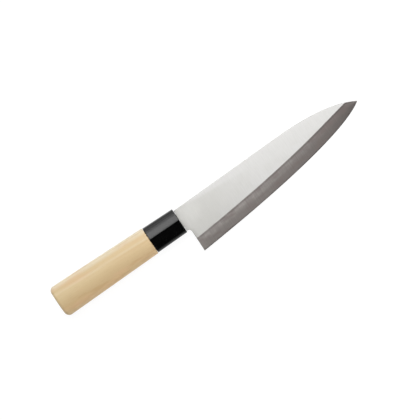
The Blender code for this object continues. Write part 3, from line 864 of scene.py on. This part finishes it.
# %% Wood
def bare_magnolia():
    made, tree = new_material("sanded magnolia")
    place = add(tree, "VectorRotate", Vector=knife_place(tree), Angle=GRAIN_TURN, Axis=(0, 0, 1),
                settings={"rotation_type": "AXIS_ANGLE"})
    x, y, z = add(tree, "SeparateXYZ", place).outputs
    across = add(tree, "CombineXYZ", 0.0, y, z)
    from_pith, from_streak, from_heart = (
        add(tree, "VectorMath", across, line, settings=DISTANCE).outputs["Value"]
        for line in (PITH, STREAK, HEART))

    # Each noise has a length, a width, a detail and a roughness.
    wander, fibres, pore_noise, clouds, stained = (
        add(tree, "TexNoise", Vector=add(tree, "Mapping", Vector=place, Scale=(1 / long, 1 / wide, 1 / wide)),
            Scale=1.0, Detail=detail, Roughness=roughness)
        for long, wide, detail, roughness in (
            (90, 14, 2, 0.5), (26, 0.9, 4, 0.65), (5, 0.33, 2, 0.5), (34, 7, 3, 0.5), (22, 4, 2, 0.5)))

    ring = add(tree, "Math", wander, 6.0, from_pith, settings=TIMES_PLUS)
    ring = add(tree, "Math", ring, HALF_RING, settings=BACK_AND_FORTH)
    streak = add(tree, "Math", wander, -1.5, from_streak, settings=TIMES_PLUS)
    spine_sheen_height = add(tree, "Math", x, -0.01, y, settings=TIMES_PLUS)
    underside_shade_height = add(tree, "Math", x, -0.0185, y, settings=TIMES_PLUS)
    stains = add(tree, "Math", add(tree, "MapRange", stained, 0.46, 0.66, 0, 0.35, settings=SOFT),
                 add(tree, "MapRange", from_heart, 3, 7, 1, 0, settings=SOFT), settings=TIMES)
    pores = add(tree, "MapRange", pore_noise, 0.62, 0.74, 0, 1, settings=SOFT)

    tone = add(tree, "MixRGB", fibres, colour("#c6ad81"), colour("#d1bc92"))
    for share, code in (
        (add(tree, "MapRange", x, 0, 100), "#d6bc91"),
        # Painted sheen: paler along the spine's side of the handle.
        (add(tree, "MapRange", spine_sheen_height, 9.3, 13.5, 0, 1, settings=SOFT), "#dccfb4"),
        (add(tree, "MapRange", from_heart, 1, 11, 0.5, 0, settings=SOFT), "#c3a57b"),
        (stains, "#b89061"),
        (add(tree, "MapRange", clouds, 0.44, 0.7, 0, 0.6, settings=SOFT), "#d5b088"),
        (add(tree, "MapRange", ring, 2.1, 3.1, 0, 0.3, settings=SOFT), "#c8a675"),
        (add(tree, "MapRange", streak, -0.4, 1.3, 0.35, 0, settings=SOFT), "#dccbaa"),
        # Painted shade: darker where the edge side curves under.
        (add(tree, "MapRange", underside_shade_height, -12.2, -14.4, 0, 0.45, settings=SOFT), "#a88f6b"),
        (add(tree, "Math", pores, 0.3, settings=TIMES), "#a98a60"),
    ):
        tone = add(tree, "MixRGB", share, tone, colour(code))
    relief = add(tree, "Bump", Height=fibres, Distance=20 * MICRON, Strength=0.6)
    add(tree, "OutputMaterial", add(
        tree, "BsdfPrincipled", Base_Color=tone, IOR=1.5, Sheen_Weight=0.15, Sheen_Roughness=0.4,
        Roughness=add(tree, "MapRange", fibres, 0.3, 0.7, 0.48, 0.58),
        Normal=add(tree, "Bump", Height=pores, Distance=-20 * MICRON, Strength=0.5, Normal=relief)))
    return made


wood = counted(bare_magnolia())

# %% [markdown]
# ## Cured resin
# What shows of the resin is a sliver in the ferrule's slot. It is dark amber epoxy, smooth where it set against
# the air and speckled with wood dust in flecks of half a millimetre. Light hardly gets through so dark a resin,
# so an opaque colour does as well as glass-like depth and renders faster.


# %% Resin
def cured_resin():
    made, tree = new_material("cured epoxy resin")
    place = knife_place(tree)
    specks = add(tree, "TexNoise", Vector=place, Scale=1 / 0.5, Detail=3.0)
    dust = add(tree, "MapRange", specks, 0.55, 0.7, 0, 1, settings=SOFT)
    waves = add(tree, "TexNoise", Vector=place, Scale=1 / 1.5)
    add(tree, "OutputMaterial", add(
        tree, "BsdfPrincipled", IOR=1.55,
        Base_Color=add(tree, "MixRGB", dust, colour("#3a3024"), colour("#57492f")),
        Roughness=add(tree, "MapRange", dust, 0, 1, 0.3, 0.5),
        Normal=add(tree, "Bump", Height=waves, Distance=30 * MICRON)))
    return made


resin = counted(cured_resin())

# %% [markdown]
# ## Pieces
# The real knife is put together from four things: steel, ferrule, wood and resin. Each shell now takes the place
# of the CAD node that it refines, and the node stays in the physics model. Nothing on the knife moves, so every
# piece rides on the root body. One shell for the whole knife would be simpler, but then no piece could be taken
# off or given another material.

# %% Dress the nodes
pieces = {
    "blade": (shell("steel_blade", blade_sheets, [flats, bevels, honed, rim]), "steel"),
    "ferrule": (shell("plastic_ferrule", [sheet(ferrule_rows, around=True)], [plastic]), "ferrule_plastic"),
    "handle": (shell("wooden_handle", [sheet(handle_rows, around=True)], [wood]), "handle_wood"),
    "tang_resin": (shell("resin_bed", [sheet(resin_rows, around=True)], [resin]), "tang_resin"),
}
for node, (piece, slot) in pieces.items():
    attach(piece, "root")
    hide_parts(node)

# %% [markdown]
# ## Floor and backdrop
# The photograph was taken on a white sweep. One surface of revolution does for it: a flat floor that curves up
# into a low wall all round, so that no view shows an edge. It is pale paper. To the camera most of it glows at
# the level of white, as overexposed paper does, and the rest takes the knife's shadow. The knife mirrors the
# paper too, as a bright rim on both long sides of the black ferrule. In mirror images the paper is a painted
# glow only: bright on the spine's side, where the lamps are, and fading into the dark within 16 cm on the other
# side.

# %% Shape of the sweep
FLOOR_RADIUS, SWEEP_RADIUS, WALL_HEIGHT = 4.6, 0.3, 0.5
FLOOR_RINGS, SWEEP_STEPS, SWEEP_SIDES = [0, 0.3, 1, 2.5], 12, 96


def paper_sweep():
    """A profile of radius and height, turned once round the vertical: flat, a quarter circle, then a wall."""
    a = np.linspace(0, math.pi / 2, SWEEP_STEPS)
    rim_radius = FLOOR_RADIUS + SWEEP_RADIUS
    radius = np.concatenate((FLOOR_RINGS, FLOOR_RADIUS + SWEEP_RADIUS * np.sin(a), [rim_radius]))
    height = np.concatenate((np.zeros(len(FLOOR_RINGS)), SWEEP_RADIUS * (1 - np.cos(a)), [WALL_HEIGHT]))
    turn = np.linspace(0, 2 * math.pi, SWEEP_SIDES, endpoint=False)
    points = np.dstack((radius[:, None] * np.cos(turn), radius[:, None] * np.sin(turn),
                        np.broadcast_to(height[:, None], (len(radius), len(turn)))))
    mesh = bpy.data.meshes.new("paper_sweep")
    mesh.from_pydata(points.reshape(-1, 3), [], quads(len(radius), len(turn), True).tolist())
    mesh.shade_smooth()
    return bpy.data.objects.new("paper_sweep", mesh)


# %% Paper
GLOW_SHARE, GLOW = 0.875, 1.07  # as the camera sees the paper: how much of it glows, and how brightly
NEAR_Y, FAR_Y = -0.02, -0.16  # metres to the edge side, over which the paper's mirror image darkens
SPINE_SIDE_START, SPINE_SIDE_END = -0.01, 0.03  # metres to the spine side, over which it brightens
SPINE_SIDE_GLOW, NEAR_GLOW, FAR_GLOW = 1.1, 0.75, 0.14


def white_paper():
    made, tree = new_material("white paper")
    ray = add(tree, "LightPath").outputs
    y = add(tree, "SeparateXYZ", add(tree, "TexCoord").outputs["Object"]).outputs["Y"]
    seen = add(tree, "Math", ray["Is Camera Ray"], ray["Is Transmission Ray"], settings=PLUS)
    paper = add(tree, "BsdfDiffuse", Color=colour("#eeeeec"))
    glow = add(tree, "Emission", Strength=GLOW)
    straight = add(tree, "MixShader", add(tree, "Math", seen, GLOW_SHARE, settings=TIMES), paper, glow)
    # Painted glow that the paper shows in mirror images: dim far off on the edge side, bright on the spine's
    # side.
    painted_mirror_glow = add(tree, "MapRange", y, FAR_Y, NEAR_Y, FAR_GLOW, NEAR_GLOW, settings=SOFT)
    spine_side = add(tree, "MapRange", y, SPINE_SIDE_START, SPINE_SIDE_END, 0, SPINE_SIDE_GLOW - NEAR_GLOW,
                     settings=SOFT)
    mirrored = add(tree, "Emission", Strength=add(tree, "Math", painted_mirror_glow, spine_side, settings=PLUS))
    add(tree, "OutputMaterial", add(tree, "MixShader", ray["Is Glossy Ray"], straight, mirrored))
    return made


sweep = paper_sweep()
sweep.data.materials.append(counted(white_paper()))
bpy.context.scene.collection.objects.link(sweep)
sweep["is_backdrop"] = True

# %% [markdown]
# ## Lamps
# A shiny black part shows a picture of the room, so the room is what has to be arranged. Four softboxes side by
# side make one long arch over the spine's side, from nearly overhead down to the floor. Each has its own
# brightness, and together they draw the ferrule's upper half as a grey band that is brightest beside the ridge.
# On the other side the room stays dark, so that the ferrule's lower half is black and the bevel, which leans
# that way, is darker than the flat. Two low lamps, beyond the point and beyond the butt, light the handle's
# lower half from where no mirror on the knife shows them to the camera. A picture of a studio wrapped round the
# scene could light it too, but lamps can be moved one at a time until each band lies where it should.

# %% Softboxes
TARGET = Vector(in_frame((150.2, -7.0, 0.0)))  # the middle of the picture


def softbox(name, towards, distance, size, radiance):
    """A rectangular lamp that faces the knife from a direction in the knife's own axes. Its strength is the
    brightness of its face, where white paper in full light is 1."""
    towards = Vector(np.asarray(towards, float) @ KNIFE_AXES).normalized()
    level = (Vector(KNIFE_AXES[0]) - towards * towards.dot(Vector(KNIFE_AXES[0]))).normalized()
    data = bpy.data.lights.new(name, "AREA")
    data.shape = "RECTANGLE"
    data.size, data.size_y = size
    data.energy = radiance * math.pi * size[0] * size[1]
    lamp = bpy.data.objects.new(name, data)
    turn = Matrix((level, towards.cross(level), towards)).transposed().to_4x4()
    lamp.matrix_world = Matrix.Translation(TARGET + towards * distance) @ turn
    lamp.visible_camera = False
    bpy.context.scene.collection.objects.link(lamp)
    print(f"{name}: {data.energy:.1f} W")


def tilted(degrees, along=0.0):
    """A direction that leans from the blade's outward axis towards the spine, and a share along the knife."""
    return along, math.sin(math.radians(degrees)), math.cos(math.radians(degrees))


softbox("front_softbox", tilted(14, 0.2), 1.3, (1.5, 0.45), 2.5)
softbox("overhead_softbox", tilted(35, 0.2), 1.3, (1.5, 0.48), 3.3)
softbox("spine_softbox", tilted(52.5, 0.2), 1.3, (1.6, 0.33), 1.9)
softbox("low_softbox", tilted(73, 0.2), 1.5, (1.8, 0.63), 1.1)
softbox("end_fill", (0.82, -0.5, 0.28), 1.5, (1.0, 0.9), 5.0)
softbox("butt_fill", (-0.62, -0.66, 0.3), 1.5, (1.0, 0.8), 2.5)

# %% [markdown]
# ## Room
# The room itself is an even grey that fills the shadows, with one dark patch on the edge's side, as a black
# cloth hung there would give. The angle between a direction and the middle of that patch decides how dark it is
# there. A real sheet in the scene would cast a shadow on the paper, and a dark part of the sky casts none.

# %% Room with its dark side
ROOM, ROOM_DARK = 0.35, 0.012
DARK_SIDE, DARK_REACH, DARK_EDGE = 50, 57, 30  # degrees: the patch's middle, its rim and its fully dark part
world = bpy.data.worlds.new("studio")
bpy.context.scene.world = world
world.use_nodes = True
tree = world.node_tree
tree.nodes.clear()
facing = add(tree, "VectorMath", add(tree, "TexCoord").outputs["Generated"],
             Vector(tilted(-DARK_SIDE) @ KNIFE_AXES), settings={"operation": "DOT_PRODUCT"}).outputs["Value"]
dark_rim, dark_part = (math.cos(math.radians(angle)) for angle in (DARK_REACH, DARK_EDGE))
level = add(tree, "MapRange", facing, dark_rim, dark_part, ROOM, ROOM_DARK, settings=SOFT)
add(tree, "OutputWorld", add(tree, "Background", Strength=level))
print("the dark side is", round(ROOM / ROOM_DARK), "times as dark as the room")

# %% [markdown]
# ## Camera
# The photograph looks straight down on the blade's flat, from far away: both ends of the handle show the same
# scale. A short lens from nearby would show the parts that stand higher at a larger scale. So the camera stands
# 4 m away along the blade's own Z axis with a long lens, and is rolled so that the knife rises to the right at
# 34.2 degrees.

# %% Camera
LENS, SENSOR = 400.0, 36.0
VIEW_WIDTH = 354.7  # millimetres across the picture, at the blade
ROLL = math.radians(34.2)
data = bpy.data.cameras.new("camera")
data.lens, data.sensor_width = LENS, SENSOR
camera = bpy.data.objects.new("camera", data)
knife_x, knife_y, knife_z = (Vector(axis) for axis in KNIFE_AXES)
right = knife_x * math.cos(ROLL) - knife_y * math.sin(ROLL)
up = knife_x * math.sin(ROLL) + knife_y * math.cos(ROLL)
eye = TARGET + knife_z * MM * VIEW_WIDTH * LENS / SENSOR
camera.matrix_world = Matrix.Translation(eye) @ Matrix((right, up, knife_z)).transposed().to_4x4()
bpy.context.scene.collection.objects.link(camera)
bpy.context.scene.camera = camera
bpy.context.scene.view_settings.view_transform = "Standard"
print("camera at", [round(value, 3) for value in eye])

# %% [markdown]
# ## Finish
# The dressed knife has to fill the same box as the CAD model, or it would seem to touch things where the solids
# don't. Both boxes are written down to be compared.

# %% Sizes and hand-over
low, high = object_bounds()
apart_by = [round(1000 * (a - b), 3) for a, b in zip([*low, *high], [*cad_low, *cad_high])]
print("difference from the CAD box in mm", apart_by)
